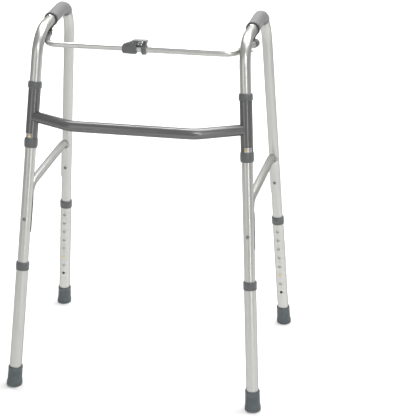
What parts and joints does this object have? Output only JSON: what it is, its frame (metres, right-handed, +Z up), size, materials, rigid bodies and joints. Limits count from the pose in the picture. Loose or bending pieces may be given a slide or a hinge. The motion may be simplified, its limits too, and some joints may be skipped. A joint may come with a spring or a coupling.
{
  "type": "folding walking frame",
  "caption": "Folding tubular walking frame with hinged side frames, front brace, telescoping latched bar, hand grips and height-adjustable rubber-tipped legs.",
  "frame": {"origin": "centre of the footprint, on the floor", "axes": "+Z up; +Y from the front brace towards the user; +X across the frame, left side at -X"},
  "size_m": [0.6546, 0.4853, 0.8678],
  "materials": {
    "aluminium_tube": "satin anodised drawn tube",
    "aluminium_rivet": "plain pressed rivet",
    "dark_powder_coat": "semi-gloss dark grey powder coat",
    "dark_plastic": "moulded dark grey plastic",
    "tip_rubber": "moulded blue-grey rubber",
    "grip_vinyl": "soft matt grey vinyl",
    "brass_pin": "plain turned brass",
    "bright_steel": "zinc-plated steel"
  },
  "bodies": {
    "brace": {"brace_tube": "dark_powder_coat", "left_pivot_sleeve": "dark_powder_coat", "right_pivot_sleeve": "dark_powder_coat", "left_top_bush": "dark_plastic", "right_top_bush": "dark_plastic"},
    "left_side": {"left_side_tube": "aluminium_tube", "left_strut": "aluminium_tube", "left_hand_grip": "grip_vinyl", "left_strut_front_rivet": "aluminium_rivet", "left_strut_rear_rivet": "aluminium_rivet", "left_stop_pin": "brass_pin", "left_support_collar": "dark_plastic", "left_bar_bracket": "dark_powder_coat", "left_bracket_rivet": "bright_steel", "left_front_button_spring": "bright_steel", "left_rear_button_spring": "bright_steel"},
    "left_front_leg": {"left_front_extension_tube": "aluminium_tube", "left_front_ferrule": "dark_plastic", "left_front_rubber_tip": "tip_rubber"},
    "left_front_button": {"left_front_snap_button": "brass_pin"},
    "left_rear_leg": {"left_rear_extension_tube": "aluminium_tube", "left_rear_ferrule": "dark_plastic", "left_rear_rubber_tip": "tip_rubber"},
    "left_rear_button": {"left_rear_snap_button": "brass_pin"},
    "right_side": {"right_side_tube": "aluminium_tube", "right_strut": "aluminium_tube", "right_hand_grip": "grip_vinyl", "right_strut_front_rivet": "aluminium_rivet", "right_strut_rear_rivet": "aluminium_rivet", "right_stop_pin": "brass_pin", "right_support_collar": "dark_plastic", "right_bar_bracket": "dark_powder_coat", "right_bracket_rivet": "bright_steel", "right_front_button_spring": "bright_steel", "right_rear_button_spring": "bright_steel"},
    "right_front_leg": {"right_front_extension_tube": "aluminium_tube", "right_front_ferrule": "dark_plastic", "right_front_rubber_tip": "tip_rubber"},
    "right_front_button": {"right_front_snap_button": "brass_pin"},
    "right_rear_leg": {"right_rear_extension_tube": "aluminium_tube", "right_rear_ferrule": "dark_plastic", "right_rear_rubber_tip": "tip_rubber"},
    "right_rear_button": {"right_rear_snap_button": "brass_pin"},
    "bar_outer": {"bar_outer_tube": "aluminium_tube", "latch_housing": "dark_plastic", "bar_collar": "dark_plastic", "lever_pivot_pin": "bright_steel", "latch_spring": "bright_steel", "right_bracket_pin": "dark_powder_coat", "right_bar_cap": "dark_plastic"},
    "bar_inner": {"bar_inner_tube": "aluminium_tube", "left_bracket_pin": "dark_powder_coat", "left_bar_cap": "dark_plastic"},
    "lever": {"latch_lever": "bright_steel"},
    "lock": {"lock_pin": "bright_steel"}
  },
  "joints": [
    {"name": "left_fold", "type": "hinge", "parent": "brace", "child": "left_side", "pos_m": [-0.29458, -0.2235, 0], "axis": [-0.0665, -0.1818, -0.9811], "range_deg": [0, 93]},
    {"name": "right_fold", "type": "hinge", "parent": "brace", "child": "right_side", "pos_m": [0.29458, -0.2235, 0], "axis": [-0.0665, 0.1818, 0.9811], "range_deg": [0, 71]},
    {"name": "left_front_leg_slide", "type": "slide", "parent": "left_side", "child": "left_front_leg", "axis": [-0.0665, -0.1818, -0.9811], "range_m": [-0.0508, 0.127], "deforming": ["left_front_snap_button"]},
    {"name": "left_front_button_press", "type": "slide", "parent": "left_side", "child": "left_front_button", "axis": [0.0431, -0.9829, 0.1792], "range_m": [0, 0.0045], "stiffness_N_per_m": 900, "springref_m": -0.002, "deforming": ["left_front_button_spring"]},
    {"name": "left_rear_leg_slide", "type": "slide", "parent": "left_side", "child": "left_rear_leg", "axis": [-0.0743, 0.0347, -0.9966], "range_m": [-0.0508, 0.127], "deforming": ["left_rear_snap_button"]},
    {"name": "left_rear_button_press", "type": "slide", "parent": "left_side", "child": "left_rear_button", "axis": [-0.0278, 0.9989, 0.0368], "range_m": [0, 0.0045], "stiffness_N_per_m": 900, "springref_m": -0.002, "deforming": ["left_rear_button_spring"]},
    {"name": "right_front_leg_slide", "type": "slide", "parent": "right_side", "child": "right_front_leg", "axis": [0.0665, -0.1818, -0.9811], "range_m": [-0.0508, 0.127], "deforming": ["right_front_snap_button"]},
    {"name": "right_front_button_press", "type": "slide", "parent": "right_side", "child": "right_front_button", "axis": [-0.0431, -0.9829, 0.1792], "range_m": [0, 0.0045], "stiffness_N_per_m": 900, "springref_m": -0.002, "deforming": ["right_front_button_spring"]},
    {"name": "right_rear_leg_slide", "type": "slide", "parent": "right_side", "child": "right_rear_leg", "axis": [0.0743, 0.0347, -0.9966], "range_m": [-0.0508, 0.127], "deforming": ["right_rear_snap_button"]},
    {"name": "right_rear_button_press", "type": "slide", "parent": "right_side", "child": "right_rear_button", "axis": [0.0278, 0.9989, 0.0368], "range_m": [0, 0.0045], "stiffness_N_per_m": 900, "springref_m": -0.002, "deforming": ["right_rear_button_spring"]},
    {"name": "bar_swing", "type": "hinge", "parent": "right_side", "child": "bar_outer", "pos_m": [0.23881, 0.0045, 0.8139], "axis": [-0.0665, 0.1818, 0.9811], "range_deg": [-66.16, 0]},
    {"name": "bar_telescope", "type": "slide", "parent": "bar_outer", "child": "bar_inner", "axis": [1, 0, 0], "range_m": [0, 0.14741]},
    {"name": "latch_lift", "type": "hinge", "parent": "bar_outer", "child": "lever", "pos_m": [-0.014, -0.069, 0.8311], "axis": [0, -1, 0], "range_deg": [0, 32], "stiffness_Nm_per_rad": 0.1, "springref_deg": -17.19},
    {"name": "lock_pin_lift", "type": "slide", "parent": "bar_outer", "child": "lock", "axis": [0, 0, 1], "range_m": [0, 0.0046]}
  ],
  "couplings": [
    {"joint": "right_fold", "follows": "left_fold", "ratio": 0.76344},
    {"joint": "bar_swing", "follows": "left_fold", "ratio": -0.71129},
    {"joint": "bar_telescope", "follows": "left_fold", "m_per_rad": 0.090755},
    {"joint": "lock_pin_lift", "follows": "latch_lift", "m_per_rad": 0.0082}
  ]
}
